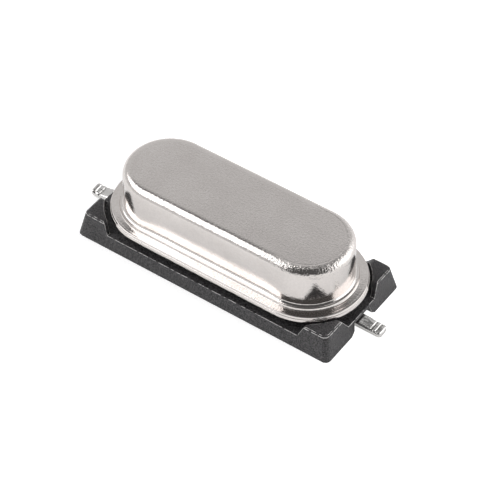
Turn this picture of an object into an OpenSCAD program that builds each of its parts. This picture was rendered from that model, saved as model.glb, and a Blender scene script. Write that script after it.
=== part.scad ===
// Surface-mount quartz crystal unit.
// A welded metal can stands on a black moulded base; two flattened leads run
// out along grooves under the base to its ends. Lengths are millimetres.
// +X runs through both leads, +Z is up, and the circuit board is at z = 0.

/* [Moulded base] */
// Length of the base, end to end at the board
base_l = 11.32; // [11.24:0.02:11.4]
// Width of the base, side to side at the board
base_w = 4.72; // [4.68:0.02:4.8]
// Height of the four corner blocks
block_h = 1.05; // [1.04:0.01:1.08]
// Height of the floor between the corner blocks
floor_h = 0.57; // [0.55:0.01:0.58]
// How far the outer sides lean in by the top of the blocks
base_lean = 0.22; // [0.12:0.02:0.26]
// Space between the rim of the can and the corner blocks
pocket_gap = 0.15; // [0.1:0.01:0.2]

/* [Metal can] */
// Height of the top of the can above the board
can_top = 3.08; // [2.98:0.02:3.3]
// Width of the can over its straight walls
can_w = 3.5; // [3.44:0.02:3.52]
// Length of the can over its round ends
can_l = 9.64; // [9.56:0.02:9.7]
// Thickness of the drawn sheet
sheet = 0.18; // [0.14:0.01:0.2]
// Outer radius where the top turns into the wall
top_round = 0.31; // [0.26:0.01:0.34]
// How far the can sits along from the middle of the base
can_shift = 0.08; // [0:0.01:0.1]

/* [Welded rim] */
// Width of the rim across the long sides
rim_w = 4.45; // [4.4:0.01:4.48]
// Length of the rim over its round ends
rim_l = 10.76; // [10.7:0.02:10.8]
// Height of the underside of the rim above the board
rim_z = 0.92; // [0.9:0.01:0.96]
// Thickness of the header's half of the rim
header_rim = 0.1; // [0.08:0.01:0.12]

/* [Leads] */
// Distance between the two lead holes
pitch = 4.88; // [4.7:0.02:5]
// Diameter of the lead wire
wire_d = 0.43; // [0.4:0.01:0.44]
// Width of the flattened end of a lead
foot_w = 0.56; // [0.5:0.02:0.62]
// Thickness of the flattened end of a lead
foot_t = 0.28; // [0.26:0.01:0.3]
// Length over both lead tips
over_leads = 13; // [12.7:0.05:13.1]
// Angle that the left lead has crept round in its groove
left_creep = 3; // [0:0.5:3]

/* [Quartz element] */
// Length of the quartz strip
quartz_l = 8; // [7.6:0.1:8.2]
// Width of the quartz strip
quartz_w = 2; // [1.8:0.1:2.1]
// Thickness of the quartz strip
quartz_t = 0.2; // [0.12:0.02:0.3]

/* [Hidden] */
$fn = 64;
eps = 0.01;      // overlap that joins shapes of one piece
over = 1;        // how far a cutting shape runs past what it cuts

// base
base_corner = 0.22;              // radius of the upright corners
block_bevel = 0.05;              // bevel round the top of the blocks
side_gap = 8.56;                 // clear length of the floor along a long side
side_lean = 0.2;                 // how far the front blocks lean back from that gap
side_round = 0.16;               // rounding at the top of that slope
back_lean = 0.38;                // the same two for the blocks at the back
back_round = 0.28;
end_gap = 1.68;                  // clear width of the floor at an end
end_lean = 0.32;                 // how far the blocks lean back from that gap
end_round = 0.14;                // rounding at the top of that slope
seat_w = 3.8;                    // width of the seat that carries the header
seat_l = 9.8;                    // length of that seat
groove_h = 0.45;                 // height of the lead grooves
groove_top = 0.96;               // width of a groove at its roof
groove_mid = 1.1;                // width of a groove above its flared mouth
groove_mouth = 1.5;              // width of a groove at the board
mouth_h = 0.14;                  // height of the flared mouth
lead_hole = wire_d + 0.4;        // hole in the base, clear of the lead's bend

// can
rim_r = rim_w / 2;
rim_c = rim_l / 2 - rim_r;       // centre of the rim's round ends
can_r = can_w / 2;
can_c = can_l / 2 - can_r;       // centre of the can's round ends
flange_z = rim_z + header_rim;   // underside of the can's own flange
land_z = flange_z + 0.15;        // top of the flange at its edge
step_low = 0.09;                 // height of the wide outer step
step_high = 0.04;                // height of the narrow inner step
foot_round = 0.16;               // radius where the wall turns into the flange
rim_round = 0.06;                // rounding of the flange's edge
lip_w = 0.1;                     // lip that the welding ring leaves at that edge
lip_h = 0.02;                    // how far it stands over the pressed land
low_r = can_r + 0.23;            // radius at the top of the outer step
high_r = can_r + 0.16;           // radius at the top of the inner step
wall_z = land_z + step_low + step_high;   // where the foot rounding starts
bore_r = can_r - sheet;          // inside of the wall
inner_top = can_top - sheet;

// header and its glass
header_back = 0.1;               // how far its rim stays inside the can's rim
plug_gap = 0.04;                 // space between the header and the wall
plug_r = bore_r - plug_gap;
plug_top = 1.3;
glass_d = 1.2;                   // diameter of a glass seal
glass_dip = 0.05;                // how far the glass sinks at its middle

// leads
bend_r = 0.36;                   // radius of the bend, to the wire's middle
lead_end = over_leads / 2;
flat_from = 1.95;                // the wire starts to flatten this far from the tip
flat_at = 1.5;                   // it is fully flattened this far from the tip
coin_at = 0.66;                  // the tip is pressed thinner over this length
foot_edge = 0.09;                // rounding along the flattened wire's sides
coin_run = 0.06;                 // length of the slope there
coin = 0.03;                     // how much thinner
tip_bevel = 0.06;                // length of the bevel at the tip
tip_drop = 0.05;                 // how far the tip falls over that bevel
tip_corner = 0.1;                // corner radius of the tip, seen from above
press_marks = 2;                 // shallow marks left by the press
mark_r = 0.03;
mark_step = 0.2;
head_d = 0.8;                    // headed top of the lead inside the can
head_t = 0.1;
head_top = 1.6;

// supports and quartz
strip_t = 0.1;                   // sheet that the supports are folded from
strip_w = 1.2;
shelf_z = 2.02;                  // top of the shelf under the quartz
shelf_from = 3.2;                // inner end of the shelf
shelf_to = quartz_l / 2 + 0.14;  // outer end of the shelf
stop_h = 0.16;                   // height of the upturned end
pad_from = 2.05;                 // inner end of the welded pad
pad_to = 2.85;                   // outer end of the welded pad
film = 0.02;                     // thickness of an electrode
electrode_l = 4.4;
electrode_w = 1.4;
tab_w = 0.6;                     // width of the strip to the quartz's end
dot_r = 0.42;                    // radius of an adhesive dot
dot_h = 0.2;                     // height of a dot above the quartz

// Stadium outline: half spacing of its end centres, and radius
module stadium(c, r) {
    square([2 * c, 2 * r], center = true);
    for (s = [-1, 1]) translate([s * c, 0]) circle(r);
}

// Sweep a half section, x outwards and y up, round a stadium path
module race(c) {
    for (a = [-90, 90])
        translate([a < 0 ? c : -c, 0, 0])
            rotate(a) rotate_extrude(angle = 180) children();
    rotate([90, 0, 90]) linear_extrude(2 * c, center = true) {
        children();
        mirror([1, 0]) children();
    }
}

// Half section of a flat disc with its top edge rounded
module rounded_disc(r, z0, z1, rounding) {
    translate([0, z0]) square([r, z1 - z0 - rounding]);
    translate([0, z0]) square([r - rounding, z1 - z0]);
    translate([r - rounding, z1 - rounding]) circle(rounding);
}

// Half section of the concave rounding at the foot of a wall
module foot_fillet(r, z, rounding) {
    difference() {
        translate([r - eps, z - eps]) square(rounding + eps);
        translate([r + rounding, z + rounding]) circle(rounding);
    }
}

// Half section of a step that slopes down by rise over run
module step_ring(r, z, rise, run) {
    polygon([[0, z - eps], [r + run, z - eps], [r + run, z], [r, z + rise], [0, z + rise]]);
}

// Place the pieces that are joined through the header
module on_header() {
    translate([can_shift, 0, 0]) children();
}

// --- Moulded base -------------------------------------------------------

// One level of the leaning block: its rounded outline at height z
module base_level(z, inset) {
    lean = base_lean * z / block_h + inset;
    for (sx = [-1, 1], sy = [-1, 1])
        translate([sx * (base_l / 2 - lean - base_corner),
                   sy * (base_w / 2 - lean - base_corner), z])
            cylinder(r = base_corner, h = eps, $fn = 32);
}

// The whole base before its gaps are cut
module base_blank() {
    hull() {
        base_level(0, 0);
        base_level(block_h - block_bevel, 0);
        base_level(block_h - eps, block_bevel);
    }
}

// Gap between two blocks: clear width at the floor, leaning sides, and the
// blocks' top corners rounded off where the slope meets the top
module gap_profile(clear, lean, rounding) {
    rise = block_h - floor_h;
    slope = norm([lean, rise]);
    round_x = clear / 2 + (rounding * slope + (rise - rounding) * lean) / rise;
    round_z = block_h - rounding;
    tangent_z = round_z + rounding * lean / slope;
    tangent_x = round_x - rounding * rise / slope;
    polygon([
        [-clear / 2, floor_h], [clear / 2, floor_h],
        [tangent_x, tangent_z], [tangent_x, block_h + over],
        [-tangent_x, block_h + over], [-tangent_x, tangent_z]
    ]);
    difference() {
        translate([-round_x, tangent_z]) square([2 * round_x, over]);
        for (s = [-1, 1]) translate([s * round_x, round_z]) circle(rounding);
    }
}

// Groove under the base for one lead, open at the board and at the end
module lead_groove() {
    rotate([90, 0, 90]) linear_extrude(base_l / 2 - pitch / 2 + over)
        polygon([
            [-groove_mouth / 2, -over], [groove_mouth / 2, -over],
            [groove_mouth / 2, 0], [groove_mid / 2, mouth_h],
            [groove_top / 2, groove_h], [-groove_top / 2, groove_h],
            [-groove_mid / 2, mouth_h], [-groove_mouth / 2, 0]
        ]);
}

module plastic_base() {
    color([0.13, 0.13, 0.14]) {
        difference() {
            base_blank();
            // long gaps at the front and back, short gaps at the two ends
            rotate([90, 0, 0]) linear_extrude(base_w / 2 + over)
                gap_profile(side_gap, side_lean, side_round);
            rotate([90, 0, 180]) linear_extrude(base_w / 2 + over)
                gap_profile(side_gap, back_lean, back_round);
            rotate([90, 0, 90]) linear_extrude(base_l + over, center = true)
                gap_profile(end_gap, end_lean, end_round);
            // pocket that clears the rim of the can
            translate([0, 0, floor_h]) linear_extrude(block_h)
                stadium(rim_c, rim_r + pocket_gap);
            for (s = [0, 180]) rotate(s) {
                translate([pitch / 2, 0, 0]) lead_groove();
                translate([pitch / 2, 0, 0]) cylinder(d = groove_top, h = 2 * groove_h, center = true);
            }
            lead_holes(lead_hole);
        }
        // seat under the header
        difference() {
            translate([0, 0, floor_h - eps]) linear_extrude(rim_z - floor_h + eps)
                stadium((seat_l - seat_w) / 2, seat_w / 2);
            lead_holes(lead_hole);
        }
    }
}

// Both lead holes, right through
module lead_holes(d) {
    for (s = [-1, 1]) translate([s * pitch / 2, 0, -over]) cylinder(d = d, h = can_top);
}

// --- Metal can and header -------------------------------------------------

// Edge of the flange: pressed flat by the welding ring, with a lip left outside
module flange_land() {
    difference() {
        race(rim_c) rounded_disc(rim_r, flange_z, land_z + lip_h, rim_round);
        translate([0, 0, land_z]) linear_extrude(step_low) stadium(rim_c, rim_r - lip_w);
    }
}

// Outside of the can: stepped flange, foot rounding, wall and rounded top
module can_outside() {
    flange_land();
    race((rim_c + can_c) / 2) step_ring(low_r, land_z, step_low, 0.09);
    race(can_c + 0.05) step_ring(high_r, land_z + step_low, step_high, 0.04);
    race(can_c) {
        rounded_disc(can_r, land_z, can_top, top_round);
        foot_fillet(can_r, wall_z, foot_round);
    }
}

// Inside of the can: the same walls, one sheet thickness in
module can_inside() {
    race(can_c) {
        rounded_disc(bore_r, flange_z - over, inner_top, top_round - sheet + 0.04);
        polygon([
            [0, flange_z - over], [can_r, flange_z - over],
            [can_r, flange_z], [bore_r, flange_z + sheet], [0, flange_z + sheet]
        ]);
    }
}

module can_cover() {
    color([0.8, 0.79, 0.77]) on_header() difference() {
        can_outside();
        can_inside();
    }
}

module header_plate() {
    color([0.7, 0.69, 0.66]) on_header() difference() {
        union() {
            translate([0, 0, rim_z]) linear_extrude(header_rim) stadium(rim_c, rim_r - header_back);
            race(can_c) rounded_disc(plug_r, rim_z, plug_top, 0.08);
        }
        lead_holes(glass_d);
    }
}

// Glass bead fused into the header, its two faces dished
module glass_seal(side) {
    color([0.16, 0.24, 0.2]) on_header() translate([side * pitch / 2, 0, 0])
        rotate_extrude() polygon([
            [wire_d / 2, rim_z], [0.4, rim_z + glass_dip], [glass_d / 2, rim_z],
            [glass_d / 2, plug_top], [0.4, plug_top - glass_dip], [wire_d / 2, plug_top]
        ]);
}

// --- Leads ---------------------------------------------------------------

// Side view of the flattened foot back from its tip: pressed step and bevel
module foot_side() {
    polygon([
        [-flat_at, 0], [0, 0], [0, foot_t - coin - tip_drop],
        [-tip_bevel, foot_t - coin], [coin_run - coin_at, foot_t - coin],
        [-coin_at, foot_t], [-flat_at, foot_t]
    ]);
}

// End view of the foot, rounded along its four edges by the press
module foot_section() {
    flat = foot_w / 2 - foot_edge;
    translate([-flat, 0]) square([2 * flat, foot_t]);
    translate([-foot_w / 2, foot_edge]) square([foot_w, foot_t - 2 * foot_edge]);
    for (sy = [-1, 1], z = [foot_edge, foot_t - foot_edge])
        translate([sy * flat, z]) circle(foot_edge, $fn = 24);
}

// Plan of the foot with its two tip corners rounded
module foot_plan() {
    translate([-flat_at, -foot_w / 2]) square([flat_at - tip_corner, foot_w]);
    translate([-flat_at, -foot_w / 2 + tip_corner]) square([flat_at, foot_w - 2 * tip_corner]);
    for (s = [-1, 1])
        translate([-tip_corner, s * (foot_w / 2 - tip_corner)]) circle(tip_corner);
}

// Flattened foot with its tip at x = 0, marked across by the press
module foot() {
    difference() {
        intersection() {
            rotate([90, 0, 0]) linear_extrude(foot_w, center = true) foot_side();
            translate([-flat_at, 0, 0]) rotate([90, 0, 90]) linear_extrude(flat_at) foot_section();
            linear_extrude(foot_t) foot_plan();
        }
        for (i = [1 : press_marks])
            translate([coin_run - coin_at + i * mark_step, 0, foot_t - coin + mark_r / 2])
                rotate([90, 0, 0]) cylinder(r = mark_r, h = foot_w + over, center = true, $fn = 24);
    }
}

// Wire from the header down through the base, round its bend and out to reach
module lead_body(reach) {
    axis_z = wire_d / 2;
    down_to = axis_z + bend_r;
    translate([pitch / 2, 0, down_to]) cylinder(d = wire_d, h = head_top - down_to - head_t / 2);
    translate([pitch / 2, 0, head_top - head_t]) cylinder(d = head_d, h = head_t);
    translate([pitch / 2 + bend_r, 0, down_to])
        rotate([90, 0, 0]) rotate_extrude(angle = 90, start = 180)
            translate([bend_r, 0]) circle(d = wire_d);
    translate([pitch / 2 + bend_r, 0, axis_z]) rotate([0, 90, 0])
        cylinder(d = wire_d, h = reach - flat_from - pitch / 2 - bend_r);
    hull() {
        translate([reach - flat_from - eps, 0, axis_z]) rotate([0, 90, 0])
            cylinder(d = wire_d, h = eps, $fn = 32);
        translate([reach - flat_at, 0, 0]) rotate([90, 0, 90]) linear_extrude(eps) foot_section();
    }
    translate([reach, 0, 0]) foot();
}

module lead_right() {
    color([0.82, 0.81, 0.78]) on_header() lead_body(lead_end - can_shift);
}

module lead_left() {
    color([0.82, 0.81, 0.78]) on_header()
        translate([-pitch / 2, 0, 0]) rotate(180 + left_creep)
            translate([-pitch / 2, 0, 0]) lead_body(lead_end + can_shift);
}

// --- Quartz element --------------------------------------------------------

// Side view of a folded support: pad, riser, shelf and upturned stop
module support_side() {
    polygon([
        [pad_from, head_top], [pad_to + strip_t / 2, head_top],
        [shelf_from + strip_t / 2, shelf_z - strip_t], [shelf_to + strip_t, shelf_z - strip_t],
        [shelf_to + strip_t, shelf_z + stop_h], [shelf_to, shelf_z + stop_h],
        [shelf_to, shelf_z], [shelf_from - strip_t / 2, shelf_z],
        [pad_to - strip_t / 2, head_top + strip_t], [pad_from, head_top + strip_t]
    ]);
}

module support(side) {
    color([0.78, 0.72, 0.55]) on_header() mirror([side < 0 ? 1 : 0, 0, 0])
        rotate([90, 0, 0]) linear_extrude(strip_w, center = true) support_side();
}

module quartz_strip() {
    color([0.9, 0.93, 0.95, 0.8]) on_header()
        translate([-quartz_l / 2, -quartz_w / 2, shelf_z + film])
            cube([quartz_l, quartz_w, quartz_t]);
}

// Film electrode: a wide pad with a narrow strip to one end of the quartz
module electrode(side, z) {
    color([0.88, 0.88, 0.88]) on_header() translate([0, 0, z]) linear_extrude(film) {
        square([electrode_l, electrode_w], center = true);
        translate([side > 0 ? 0 : -quartz_l / 2, -tab_w / 2]) square([quartz_l / 2, tab_w]);
    }
}

// Dot of conductive adhesive over the end of the quartz, down to the shelf
module adhesive(side) {
    quartz_top = shelf_z + film + quartz_t;
    color([0.62, 0.62, 0.6]) on_header() mirror([side < 0 ? 1 : 0, 0, 0]) difference() {
        intersection() {
            translate([quartz_l / 2 - 0.16, 0, shelf_z]) rotate_extrude()
                polygon([[0, 0], [dot_r, 0], [dot_r, quartz_t + film], [dot_r * 0.7, quartz_t + dot_h * 0.75],
                         [0, quartz_t + dot_h]]);
            translate([0, -strip_w, 0]) cube([shelf_to, 2 * strip_w, can_top]);
        }
        translate([0, -quartz_w / 2, 0]) cube([quartz_l / 2, quartz_w, quartz_top]);
        translate([0, -tab_w / 2, 0]) cube([quartz_l / 2, tab_w, quartz_top + film]);
    }
}

plastic_base();
can_cover();
header_plate();
glass_seal(-1);  // glass_seal_left
glass_seal(1);  // glass_seal_right
lead_left();
lead_right();
support(-1);  // support_left
support(1);  // support_right
quartz_strip();
electrode(1, shelf_z + film + quartz_t);  // electrode_top
electrode(-1, shelf_z);  // electrode_bottom
adhesive(-1);  // adhesive_left
adhesive(1);  // adhesive_right
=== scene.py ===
"""A surface-mount quartz crystal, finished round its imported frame.

The can, its header, the leads and the moulded base are remade with the small
radii and the surface that press tools, tin and moulding leave on them. The
pieces sealed inside the can keep their solids and take a finish only.
"""
import math

import bmesh
import bpy
from mathutils import Matrix, Quaternion, Vector


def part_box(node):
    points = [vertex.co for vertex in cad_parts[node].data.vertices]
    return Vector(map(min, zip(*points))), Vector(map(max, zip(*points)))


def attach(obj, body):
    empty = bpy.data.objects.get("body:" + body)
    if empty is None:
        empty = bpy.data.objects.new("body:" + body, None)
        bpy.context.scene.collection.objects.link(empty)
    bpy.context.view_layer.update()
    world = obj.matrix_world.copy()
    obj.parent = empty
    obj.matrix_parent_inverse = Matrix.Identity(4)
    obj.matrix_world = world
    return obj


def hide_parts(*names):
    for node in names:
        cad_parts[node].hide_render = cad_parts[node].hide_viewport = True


MM = 0.001
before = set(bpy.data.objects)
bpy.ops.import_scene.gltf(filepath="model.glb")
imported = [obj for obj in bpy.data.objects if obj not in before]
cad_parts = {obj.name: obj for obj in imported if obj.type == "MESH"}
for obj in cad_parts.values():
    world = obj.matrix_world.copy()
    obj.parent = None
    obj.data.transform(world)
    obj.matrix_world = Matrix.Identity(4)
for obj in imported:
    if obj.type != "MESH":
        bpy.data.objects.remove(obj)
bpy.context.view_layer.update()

# Sizes in millimetres, as the makers' drawings give them
CAN_SHIFT = 0.08         # the can sits this far along from the middle of its base
WALL_R = 1.75            # outside of the can's wall, across its round ends
WALL_REACH = 3.07        # from the middle to the centre of a round end
SHEET = 0.18             # drawn sheet
TOP_FLAT = 1.38          # the flat top ends here, across its round ends
TOP_FALL = 0.03          # and falls this much by its edge
TOP_ROUND = 0.31         # where the top turns into the wall
LAND = 0.1               # thickness of the flange at its edge
STEP_LOW = 0.1           # height of the wide outer step
STEP_HIGH = 0.09         # height of the narrow inner step
LOW_R = WALL_R + 0.41    # top of the outer step, where the welding ring bears
HIGH_R = WALL_R + 0.12   # top of the inner step
LOW_RUN = 0.025          # how far the outer step and the rim's edge lean out
HIGH_RUN = 0.03          # how far the inner step leans out
WAIST = 0.031            # how far the long walls spring in at the foot
HEADER_RIM = 0.1         # header's half of the welded rim
PLUG_R = 1.53            # the header's raised middle
GLASS_R = 0.6            # hole in the header for a glass seal
PITCH = 4.88             # between the two leads
WIRE_R = 0.215
BEND_R = 0.36
HEAD_R = 0.4             # headed top of a lead inside the can
HEAD_T = 0.1
FOOT_W = 0.56
FOOT_T = 0.28
FOOT_EDGE = 0.09         # rounding along the pressed foot's sides
LEAD_END = 6.5
LEFT_CREEP = math.radians(3)
TIP_RISE = 0.22          # slope of the left lead's tip, bent up by the shears
TIP_BENT = 0.24          # length of that bend
MOULD_R = 0.032          # radius that the mould leaves on the base's edges
MOULD_MERGE = 0.06       # corners of the base closer than this share one radius
SOFT_EDGE = math.radians(32)   # edges under this angle are shaded smooth


# --- Camera ----------------------------------------------------------------

def place_camera():
    """Long lens, looking down on the right-hand front corner."""
    azimuth, elevation, roll = math.radians(35.568), math.radians(46.173), math.radians(-0.174)
    look_at = Vector((0.981, -0.502, 1.5)) * MM
    back = Vector((math.sin(azimuth) * math.cos(elevation),
                   -math.cos(azimuth) * math.cos(elevation), math.sin(elevation)))
    camera = bpy.data.objects.new("camera", bpy.data.cameras.new("camera"))
    camera.data.lens = 161.06
    camera.data.clip_start = 0.001
    camera.data.clip_end = 10
    camera.location = look_at + back * 81.209 * MM
    level = (-back).to_track_quat("-Z", "Y")
    camera.rotation_euler = (level @ Quaternion((0, 0, 1), roll)).to_euler()
    bpy.context.scene.collection.objects.link(camera)
    bpy.context.scene.camera = camera


# --- Shader maths ----------------------------------------------------------

class Wire:
    """An output socket that can stand in a Python expression."""

    def __init__(self, nodes, socket):
        self.nodes = nodes
        self.socket = socket

    def maths(self, operation, *values):
        return self.nodes.add("ShaderNodeMath", {"operation": operation}, dict(enumerate(values)))

    def __add__(self, other):
        return self.maths("ADD", self, other)

    def __sub__(self, other):
        return self.maths("SUBTRACT", self, other)

    def __rsub__(self, other):
        return self.maths("SUBTRACT", other, self)

    def __mul__(self, other):
        return self.maths("MULTIPLY", self, other)

    def __pow__(self, other):
        return self.maths("POWER", self, other)

    def __abs__(self):
        return self.maths("ABSOLUTE", self)

    def at_least(self, other):
        return self.maths("MAXIMUM", self, other)

    def above(self, low, high):
        """0 under low, 1 over high, and smooth between them."""
        return self.nodes.add("ShaderNodeMapRange", {"interpolation_type": "SMOOTHSTEP"},
                              {"Value": self, "From Min": low, "From Max": high})

    __radd__ = __add__
    __rmul__ = __mul__


class Nodes:
    """The node tree of a material or of the world."""

    def __init__(self, owner):
        owner.use_nodes = True
        self.tree = owner.node_tree

    def feed(self, node, sockets):
        """Set or link the inputs of a node, named or numbered."""
        for key, value in sockets.items():
            if isinstance(value, Wire):
                self.tree.links.new(value.socket, node.inputs[key])
            else:
                node.inputs[key].default_value = value

    def add(self, kind, settings=None, sockets=None, output=0):
        """A new node: its settings, then its inputs. Returns one of its outputs."""
        node = self.tree.nodes.new(kind)
        for key, value in (settings or {}).items():
            setattr(node, key, value)
        self.feed(node, sockets or {})
        return Wire(self, node.outputs[output])

    def place(self):
        """Where a point lies, in millimetres."""
        spot = self.add("ShaderNodeTexCoord", output="Object")
        return self.add("ShaderNodeVectorMath", {"operation": "SCALE"}, {0: spot, "Scale": 1 / MM})

    def axes(self):
        """The three coordinates of a point, in millimetres."""
        split = self.add("ShaderNodeSeparateXYZ", None, {0: self.place()})
        return [Wire(self, socket) for socket in split.socket.node.outputs]

    def noise(self, per_mm, detail=2, roughness=0.5, stretch=None):
        """Cloudy noise from 0 to 1, so many clouds to the millimetre."""
        spot = self.place()
        if stretch:
            spot = self.add("ShaderNodeVectorMath", {"operation": "MULTIPLY"}, {0: spot, 1: stretch})
        return self.add("ShaderNodeTexNoise", None, {
            "Vector": spot, "Scale": per_mm, "Detail": detail, "Roughness": roughness})

    def mix(self, share, first, second):
        """Blend two colours."""
        node = self.add("ShaderNodeMix", {"data_type": "RGBA"}, output=2)
        self.feed(node.socket.node, {0: share, 6: first, 7: second})
        return node

    def bump(self, height, depth_mm):
        """Turn a height from 0 to 1 into a surface relief of that depth."""
        return self.add("ShaderNodeBump", None, {"Height": height, "Distance": depth_mm * MM, "Strength": 1})


class Finish(Nodes):
    """A material: a Principled shader and what varies over its surface."""

    def __init__(self, name, **uniform):
        self.material = bpy.data.materials.new(name)
        super().__init__(self.material)
        self.shader = self.tree.nodes["Principled BSDF"]
        self.feed(self.shader, {key.replace("_", " "): value for key, value in uniform.items()})

    def vary(self, **sockets):
        """Link what changes over the surface."""
        self.feed(self.shader, {key.replace("_", " "): value for key, value in sockets.items()})
        return self.material


def colour(red, green, blue):
    """A solid colour for a socket."""
    return (red, green, blue, 1)


# --- Finishes --------------------------------------------------------------

def nickel_plate():
    """Nickel plate on drawn sheet: faint clouds, a fine grain and the marks of the tools.

    The punch left drag marks under the top, most at the right-hand end, and the
    coining tool left fine rings on the flange.
    """
    finish = Finish("nickel_plate", Metallic=1.0)
    clouds = finish.noise(0.9, detail=3)
    grain = finish.noise(13, detail=2, roughness=0.6)
    x, y, height = finish.axes()
    past_straight = abs(x - CAN_SHIFT) - 3.15
    right_end = (x - 3.2).above(-1.2, 0.4)
    radius = (past_straight.at_least(0) ** 2 + y * y) ** 0.5
    rings = finish.add("ShaderNodeTexNoise", {"noise_dimensions": "1D"},
                       {"W": radius, "Scale": 11, "Detail": 1})
    flange = 1 - height.above(1.2, 1.26)
    top = height.above(3.072, 3.079)
    drawn = height.above(2.6, 2.85) * (1 - top) * (0.2 + right_end * 0.8)
    tone = finish.mix(clouds * 0.65 + grain.above(0.3, 0.7) * 0.2,
                      colour(0.605, 0.567, 0.545), colour(0.828, 0.788, 0.766))
    rough = 0.08 + clouds * 0.04 + top * 0.1
    relief = finish.bump(grain * (0.2 + drawn) + rings * flange * 0.35, 0.02)
    return finish.vary(Base_Color=tone, Roughness=rough, Normal=relief)


def header_plate_metal():
    """The same plate on the header, a little duller where the weld heat reached it."""
    finish = Finish("header_metal", Metallic=1.0)
    heat = finish.noise(2.2, detail=3)
    grain = finish.noise(24, detail=2)
    tone = finish.mix(heat, colour(0.6, 0.57, 0.54), colour(0.7, 0.68, 0.65))
    return finish.vary(Base_Color=tone, Roughness=0.25 + heat * 0.12, Normal=finish.bump(grain, 0.0008))


def tinned_wire():
    """Tin over pressed wire: soft clouds, small pits and drag marks along the wire."""
    finish = Finish("tinned_wire", Metallic=1.0)
    clouds = finish.noise(3.5, detail=3, roughness=0.6)
    pits = finish.noise(14, detail=2).above(0.6, 0.7)
    waves = finish.noise(5, detail=2, stretch=(0.6, 1.4, 1.4))
    tone = finish.mix(clouds, colour(0.62, 0.61, 0.6), colour(0.76, 0.745, 0.73))
    relief = finish.bump(waves - pits * 0.2, 0.02)
    return finish.vary(Base_Color=tone, Roughness=0.08 + clouds * 0.1, Normal=relief)


def moulded_black():
    """Mineral-filled black moulding: a fine speckle, a dull open skin, and pale upper edges that are a
    painted highlight.
    """
    finish = Finish("moulded_black", Specular_IOR_Level=0.35)
    speckle = finish.noise(20, detail=2, roughness=0.6)
    cloud = finish.noise(1.6, detail=2)
    # painted highlight: the marked upper edge radii turn pale in dots, standing in for glints of light
    painted_glint = finish.add("ShaderNodeAttribute", {"attribute_name": "painted_glint"}, output=2)
    painted_glint = painted_glint * finish.noise(6, detail=3).above(0.4, 0.52)
    tone = finish.mix(speckle.above(0.3, 0.7), colour(0.012, 0.0115, 0.012), colour(0.11, 0.106, 0.11))
    tone = finish.mix(painted_glint, tone, colour(0.85, 0.83, 0.82))
    skin = finish.bump(finish.noise(11, detail=3, roughness=0.65), 0.03)
    return finish.vary(Base_Color=tone, Roughness=0.24 + cloud * 0.1 + speckle * 0.15, Normal=skin)


def seal_glass():
    """Dark glass bead with a few bubbles."""
    finish = Finish("seal_glass", Roughness=0.1, IOR=1.5)
    bubbles = finish.noise(9, detail=2).above(0.6, 0.66)
    tone = finish.mix(bubbles, colour(0.02, 0.045, 0.035), colour(0.1, 0.14, 0.12))
    return finish.vary(Base_Color=tone)


def spring_strip():
    """Rolled strip with its rolling lines along the length."""
    finish = Finish("spring_strip", Metallic=1.0)
    lines = finish.noise(7, detail=3, stretch=(0.2, 5, 1))
    tone = finish.mix(lines, colour(0.56, 0.5, 0.36), colour(0.68, 0.62, 0.46))
    return finish.vary(Base_Color=tone, Roughness=0.26 + lines * 0.12)


def quartz():
    """Lapped quartz: clear, with a soft bloom left by lapping."""
    finish = Finish("quartz", Transmission_Weight=0.85, IOR=1.54)
    bloom = finish.noise(6, detail=3)
    tone = finish.mix(bloom, colour(0.86, 0.9, 0.93), colour(0.94, 0.96, 0.98))
    return finish.vary(Base_Color=tone, Roughness=0.12 + bloom * 0.16)


def silver_film():
    """Evaporated silver, bright over the lapped grain."""
    finish = Finish("silver_film", Metallic=1.0)
    grain = finish.noise(16, detail=2)
    tone = finish.mix(grain, colour(0.82, 0.81, 0.78), colour(0.9, 0.89, 0.87))
    return finish.vary(Base_Color=tone, Roughness=0.16 + grain * 0.12)


def silver_adhesive():
    """Cured adhesive full of silver flake."""
    finish = Finish("silver_adhesive", Metallic=0.35)
    flake = finish.noise(22, detail=2).above(0.45, 0.62)
    tone = finish.mix(flake, colour(0.34, 0.34, 0.33), colour(0.62, 0.62, 0.6))
    return finish.vary(Base_Color=tone, Roughness=0.7 - flake * 0.25, Normal=finish.bump(flake, 0.006))


# --- Mesh helpers ----------------------------------------------------------

def piece(name, bm, slot, material, *nodes):
    """Make a piece of a bmesh drawn in millimetres. It stands for the CAD nodes named."""
    bmesh.ops.scale(bm, vec=(MM, MM, MM), verts=bm.verts)
    for face in bm.faces:
        face.smooth = True
    for edge in bm.edges:
        edge.smooth = len(edge.link_faces) == 2 and edge.calc_face_angle(0) < SOFT_EDGE
    mesh = bpy.data.meshes.new(name)
    bm.to_mesh(mesh)
    bm.free()
    mesh.materials.append(material)
    made = bpy.data.objects.new(name, mesh)
    bpy.context.scene.collection.objects.link(made)
    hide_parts(*nodes)
    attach(made, "root")
    even = made.modifiers.new("even_shading", "WEIGHTED_NORMAL")
    even.keep_sharp = True
    return made


def draw_section(bm, corners):
    """A half section as a chain of edges, each corner rounded by its third number."""
    chain = [bmesh.ops.create_vert(bm, co=(0, -radius, z))["vert"][0] for radius, z, _ in corners]
    for a, b in zip(chain, chain[1:]):
        bm.edges.new((a, b))
    for vert, (_, _, rounding) in zip(chain, corners):
        if rounding:
            bmesh.ops.bevel(bm, geom=[vert], offset=rounding, offset_type="OFFSET",
                            affect="VERTICES", segments=8, profile=0.5, material=-1)


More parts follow.
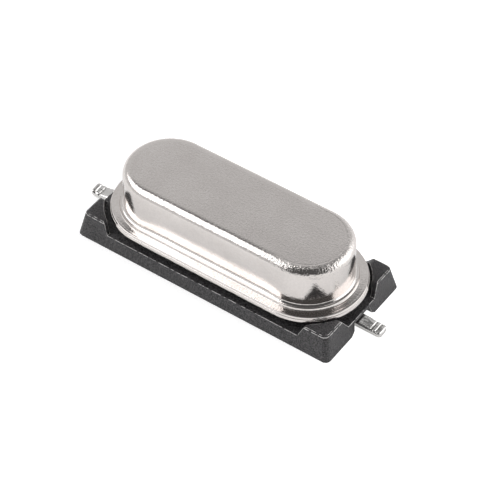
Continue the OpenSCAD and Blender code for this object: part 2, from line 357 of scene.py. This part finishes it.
def sweep_race(bm, reach):
    """Sweep the drawn section, closed on the axis at both ends, round a stadium.

    The stadium's straight half depends on the radius.
    """
    bmesh.ops.spin(bm, geom=bm.verts[:] + bm.edges[:], cent=(0, 0, 0), axis=(0, 0, 1),
                   angle=math.pi, steps=48, use_duplicate=False)
    bmesh.ops.remove_doubles(bm, verts=bm.verts, dist=1e-5)
    for vert in bm.verts:
        vert.co.x += reach(math.hypot(vert.co.x, vert.co.y))
    bmesh.ops.mirror(bm, geom=bm.verts[:] + bm.edges[:] + bm.faces[:], merge_dist=-1, axis="X")
    bmesh.ops.bridge_loops(bm, edges=[edge for edge in bm.edges if edge.is_boundary])
    bmesh.ops.recalc_face_normals(bm, faces=bm.faces)


def reach_by(knots):
    """The straight half length, in even runs between (radius, length) knots."""

    def reach(radius):
        for (r0, c0), (r1, c1) in zip(knots, knots[1:]):
            if radius <= r1:
                return c0 + (c1 - c0) * max(0, radius - r0) / (r1 - r0)
        return knots[-1][1]
    return reach


def pull(bm, cap):
    """Extrude the end face of a wire and drop the old one. Returns the new end face."""
    made = bmesh.ops.extrude_face_region(bm, geom=[cap, *cap.edges])["geom"]
    return next(part for part in made if isinstance(part, bmesh.types.BMFace))


# --- Pieces ----------------------------------------------------------------

def can_cover(material):
    """The drawn can: rounded top, straight wall, and a stepped flange coined for the weld."""
    low, high = (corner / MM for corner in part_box("can_cover"))
    rim_r = high.y
    rim_reach = (high.x - low.x) / 2 - rim_r
    land = low.z + LAND
    shelf = land + STEP_LOW
    foot = shelf + STEP_HIGH
    bore_r = WALL_R - SHEET
    bm = bmesh.new()
    draw_section(bm, [
        (0, high.z, 0), (TOP_FLAT, high.z, 0.03), (WALL_R, high.z - TOP_FALL, TOP_ROUND),
        *((WALL_R, foot + rise / 10, 0) for rise in range(12, 2, -1)),
        (WALL_R, foot, HIGH_R - WALL_R), (HIGH_R, foot, 0.01),
        (HIGH_R + HIGH_RUN, shelf, 0.01), (LOW_R, shelf - 0.015, 0.015),
        (LOW_R + LOW_RUN, land, 0.006), (rim_r - LOW_RUN, land, 0.006),
        (rim_r, low.z + 0.02, 0.015), (rim_r, low.z, 0),
        (WALL_R, low.z, 0), (bore_r, low.z + SHEET, 0.05),
        (bore_r, high.z - SHEET, 0.12), (0, high.z - SHEET, 0),
    ])
    sweep_race(bm, reach_by([
        (WALL_R, WALL_REACH), (HIGH_R + HIGH_RUN, WALL_REACH + 0.03),
        (LOW_R, rim_reach), (rim_r, rim_reach),
    ]))
    waist(bm, foot)
    bmesh.ops.translate(bm, vec=(CAN_SHIFT, 0, 0), verts=bm.verts)
    return piece("can_cover_skin", bm, "can_metal", material, "can_cover")


def waist(bm, foot):
    """Let the long walls spring in towards their foot, most at mid length."""
    along = [edge for edge in bm.edges if edge.calc_length() > WALL_REACH]
    bmesh.ops.subdivide_edges(bm, edges=along, cuts=11, use_grid_fill=True)
    for vert in bm.verts:
        if abs(vert.co.x) > WALL_REACH or abs(vert.co.y) < WALL_R - 0.01:
            continue
        mid = min(1, (WALL_REACH - abs(vert.co.x)) / 0.6)
        low = min(1, max(0, (foot + 1.2 - vert.co.z) / 0.9))
        low *= low * (3 - 2 * low)
        near = max(0, 1 - (abs(vert.co.y) - WALL_R) / (HIGH_R - WALL_R))
        vert.co.y -= math.copysign(WAIST * mid * low * near, vert.co.y)


def drill(made, centres, radius, low, high):
    """Cut upright round holes through a piece."""
    bm = bmesh.new()
    for x, y in centres:
        place = Matrix.Translation((x, y, (low + high) / 2))
        bmesh.ops.create_cone(bm, cap_ends=True, segments=48, radius1=radius, radius2=radius,
                              depth=high - low, matrix=place)
    bmesh.ops.scale(bm, vec=(MM, MM, MM), verts=bm.verts)
    mesh = bpy.data.meshes.new("drill")
    bm.to_mesh(mesh)
    bm.free()
    cutter = bpy.data.objects.new("drill", mesh)
    bpy.context.scene.collection.objects.link(cutter)
    cut = made.modifiers.new("holes", "BOOLEAN")
    cut.operation = "DIFFERENCE"
    cut.object = cutter
    made.modifiers.move(made.modifiers.find("holes"), 0)
    bpy.context.view_layer.update()
    whole = made.evaluated_get(bpy.context.evaluated_depsgraph_get())
    made.data = bpy.data.meshes.new_from_object(whole)
    made.modifiers.clear()
    bpy.data.objects.remove(cutter)


def header_plate(material):
    """The header: a rim to weld on and a raised middle, with two holes for the glass."""
    low, high = (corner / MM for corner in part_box("header_plate"))
    rim_reach = (high.x - low.x) / 2 - high.y
    bm = bmesh.new()
    draw_section(bm, [
        (0, high.z, 0), (PLUG_R, high.z, 0.08), (PLUG_R, low.z + HEADER_RIM, 0.02),
        (high.y, low.z + HEADER_RIM, 0.02), (high.y, low.z, 0.03), (0, low.z, 0),
    ])
    sweep_race(bm, reach_by([(PLUG_R, WALL_REACH), (high.y, rim_reach)]))
    bmesh.ops.translate(bm, vec=(CAN_SHIFT, 0, 0), verts=bm.verts)
    made = piece("header_plate_skin", bm, "header_metal", material, "header_plate")
    seals = [(CAN_SHIFT - PITCH / 2, 0), (CAN_SHIFT + PITCH / 2, 0)]
    drill(made, seals, GLASS_R, low.z - 1, high.z + 1)
    return made


def press_stations(reach):
    """How the wire is pressed, from round to flat to its tip at reach.

    Each station is (x, half width, top, edge rounding, flatness).
    """
    flat_from, flat_at, coin_at = reach - 1.95, reach - 1.5, reach - 0.66
    wide, coined = FOOT_W / 2, FOOT_T - 0.03
    stations = []
    for step in range(7):
        share = step / 6
        ease = share * share * (3 - 2 * share)
        stations.append((flat_from + (flat_at - flat_from) * share, WIRE_R + (wide - WIRE_R) * ease,
                         2 * WIRE_R + (FOOT_T - 2 * WIRE_R) * ease,
                         WIRE_R + (FOOT_EDGE - WIRE_R) * ease, ease))
    stations += [(coin_at, wide, FOOT_T, FOOT_EDGE, 1), (coin_at + 0.06, wide, coined, FOOT_EDGE, 1)]
    for mark in (coin_at + 0.26, coin_at + 0.46):
        for offset, sink in ((-0.05, 0), (-0.03, 0.015), (0, 0.025), (0.03, 0.015), (0.05, 0)):
            stations.append((mark + offset, wide, coined - sink, FOOT_EDGE, 1))
    for back, narrower in ((0.1, 0), (0.05, 0.015), (0.02, 0.045), (0, 0.09)):
        stations.append((reach - back, wide - narrower, coined - narrower * 0.6, FOOT_EDGE, 1))
    return stations


def press(vert, turn, x, half_w, top, rounding, flatness):
    """Move one point of the wire's end face to its place on the pressed section."""
    corner = math.pi / 16
    quarter, part = divmod(turn, math.pi / 2)
    rounded = min(1, max(0, (part - corner) / (math.pi / 2 - 2 * corner))) * math.pi / 2
    angle = quarter * math.pi / 2 + part + (rounded - part) * flatness
    side = max(-1, min(1, math.sin(turn) / math.sin(corner)))
    up = max(-1, min(1, math.cos(turn) / math.sin(corner)))
    vert.co = (x, (half_w - rounding) * side + rounding * math.sin(angle),
               top / 2 + (top / 2 - rounding) * up + rounding * math.cos(angle))


def lead(name, reach, turned):
    """One lead: headed inside the can, bent under the base and pressed flat at its end."""
    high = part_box(name)[1] / MM
    bm = bmesh.new()
    turn = bm.verts.layers.float.new("turn")
    bmesh.ops.create_circle(bm, cap_ends=True, radius=HEAD_R, segments=32)
    for vert in bm.verts:
        vert[turn] = math.atan2(vert.co.y, vert.co.x)
    bmesh.ops.translate(bm, vec=(PITCH / 2, 0, high.z), verts=bm.verts)
    cap = pull(bm, bm.faces[:][0])
    bmesh.ops.translate(bm, vec=(0, 0, -HEAD_T), verts=cap.verts)
    cap = pull(bm, cap)
    axis = Matrix.Translation((-PITCH / 2, 0, 0))
    slim = WIRE_R / HEAD_R
    bmesh.ops.scale(bm, vec=(slim, slim, 1), space=axis, verts=cap.verts)
    cap = pull(bm, cap)
    bend_z = WIRE_R + BEND_R
    bmesh.ops.translate(bm, vec=(0, 0, bend_z - high.z + HEAD_T), verts=cap.verts)
    for _ in range(12):
        cap = pull(bm, cap)
        bmesh.ops.rotate(bm, cent=(PITCH / 2 + BEND_R, 0, bend_z), verts=cap.verts,
                         matrix=Matrix.Rotation(-math.pi / 24, 3, "Y"))
    for station in press_stations(reach):
        cap = pull(bm, cap)
        for vert in cap.verts:
            press(vert, vert[turn], *station)
    bmesh.ops.recalc_face_normals(bm, faces=bm.faces)
    bmesh.ops.rotate(bm, cent=(PITCH / 2, 0, 0), matrix=Matrix.Rotation(turned, 3, "Z"), verts=bm.verts)
    return bm


def right_lead(material):
    """The lead that runs out to the right, straight along its groove."""
    bm = lead("lead_right", LEAD_END - CAN_SHIFT, 0)
    bmesh.ops.translate(bm, vec=(CAN_SHIFT, 0, 0), verts=bm.verts)
    return piece("lead_right_skin", bm, "tinned_wire", material, "lead_right")


def left_lead(material):
    """The same lead turned to the left: crept round in its groove, its tip bent up."""
    bm = lead("lead_left", LEAD_END + CAN_SHIFT, LEFT_CREEP)
    for vert in bm.verts:
        vert.co.z += TIP_RISE * max(0, vert.co.x - LEAD_END - CAN_SHIFT + TIP_BENT)
    bmesh.ops.rotate(bm, cent=(0, 0, 0), matrix=Matrix.Rotation(math.pi, 3, "Z"), verts=bm.verts)
    bmesh.ops.translate(bm, vec=(CAN_SHIFT, 0, 0), verts=bm.verts)
    return piece("lead_left_skin", bm, "tinned_wire", material, "lead_left")


def plastic_base(material):
    """The moulded base, with the small radii that a mould leaves on every edge.

    The upper radii are marked for a painted highlight, which the finish shows as pale edges.
    """
    bm = bmesh.new()
    bm.from_mesh(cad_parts["plastic_base"].data)
    bmesh.ops.scale(bm, vec=(1 / MM, 1 / MM, 1 / MM), verts=bm.verts)
    bmesh.ops.remove_doubles(bm, verts=bm.verts, dist=5e-4)
    bmesh.ops.dissolve_limit(bm, angle_limit=math.radians(1), verts=bm.verts, edges=bm.edges)
    bmesh.ops.remove_doubles(bm, verts=bm.verts, dist=MOULD_MERGE)
    bm.normal_update()
    painted_glint = bm.faces.layers.float.new("painted_glint")
    sharp = [edge for edge in bm.edges if edge.calc_face_angle(0) > math.radians(28)]
    radii = bmesh.ops.bevel(bm, geom=sharp, offset=MOULD_R, offset_type="OFFSET", affect="EDGES",
                            segments=3, profile=0.5, material=-1, clamp_overlap=True)
    bm.normal_update()
    # mark the upward-facing radii for the painted highlight
    for face in radii["faces"]:
        face[painted_glint] = 0.1 < face.normal.z < 0.99
    return piece("plastic_base_skin", bm, "moulded_black", material, "plastic_base")


def inner_finishes():
    """Finishes of the pieces sealed inside the can."""
    for material, names in (
        (seal_glass(), ("glass_seal_left", "glass_seal_right")),
        (spring_strip(), ("support_left", "support_right")),
        (quartz(), ("quartz_strip",)),
        (silver_film(), ("electrode_top", "electrode_bottom")),
        (silver_adhesive(), ("adhesive_left", "adhesive_right")),
    ):
        for name in names:
            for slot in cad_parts[name].material_slots:
                slot.material = material


# --- Studio ----------------------------------------------------------------

def tent():
    """A light tent: soft boxes on the left and right, a grey back, a dark front and top."""
    world = bpy.data.worlds.new("tent")
    bpy.context.scene.world = world
    nodes = Nodes(world)
    way = nodes.add("ShaderNodeTexCoord")

    def along(direction):
        return nodes.add("ShaderNodeVectorMath", {"operation": "DOT_PRODUCT"},
                         {0: way, 1: Vector(direction).normalized()}, output=1)

    height = along((0, 0, 1))
    seam = height.above(0.75, 0.78) * (1 - height.above(0.9, 0.94))
    back = 0.69 - seam * 0.48 + (1 - height.above(0.1, 0.22)) * 0.2
    left_box = (along((-1, 0, 0)).above(0.32, 0.38) * height.above(0.46, 0.52)
                * along((0, -1, 0)).above(-0.12, -0.03))
    right_box = along((0.74, 0.53, 0.42)).above(0.84, 0.9)
    front = 1 - along((0.525, -0.734, 0.432)).above(0.6, 0.66) * 0.88
    overhead = 1 - along((0.35, -0.49, 0.8)).above(0.66, 0.84) * 0.85
    light = (((back + right_box * 1.3) * overhead + left_box * 2.3) * front).at_least(0.1)
    camera_ray = nodes.add("ShaderNodeLightPath")
    strength = light * (1 - camera_ray) + camera_ray
    nodes.feed(nodes.tree.nodes["Background"], {"Strength": strength, "Color": colour(1, 1, 1)})


def floor():
    """A white sweep that keeps the shadow and melts into the background, with painted light towards the back
    right that washes the shadow out there.
    """
    material = bpy.data.materials.new("white_floor")
    nodes = Nodes(material)
    shader = nodes.tree.nodes["Principled BSDF"]
    camera_ray = nodes.add("ShaderNodeLightPath")
    x, y, _ = nodes.axes()
    # painted light: camera rays see the floor brighter towards the back right, which hides the shadow there
    painted_light_side = (x * 0.45 + y * 0.9).above(-0.5, 2)
    nodes.feed(shader, {"Base Color": colour(0.86, 0.86, 0.86), "Roughness": 0.9,
                        "Specular IOR Level": 0.1, "Emission Color": colour(1, 1, 1),
                        "Emission Strength": camera_ray * (0.2 + painted_light_side * 0.5) + 0.38})
    bm = bmesh.new()
    bmesh.ops.create_grid(bm, x_segments=1, y_segments=1, size=2)
    mesh = bpy.data.meshes.new("floor")
    bm.to_mesh(mesh)
    bm.free()
    mesh.materials.append(material)
    sheet = bpy.data.objects.new("floor", mesh)
    bpy.context.scene.collection.objects.link(sheet)


# --- Assembly --------------------------------------------------------------

place_camera()
tent()
floor()
can_cover(nickel_plate())
header_plate(header_plate_metal())
tin = tinned_wire()
right_lead(tin)
left_lead(tin)
plastic_base(moulded_black())
inner_finishes()

bpy.context.scene.view_settings.view_transform = "Standard"
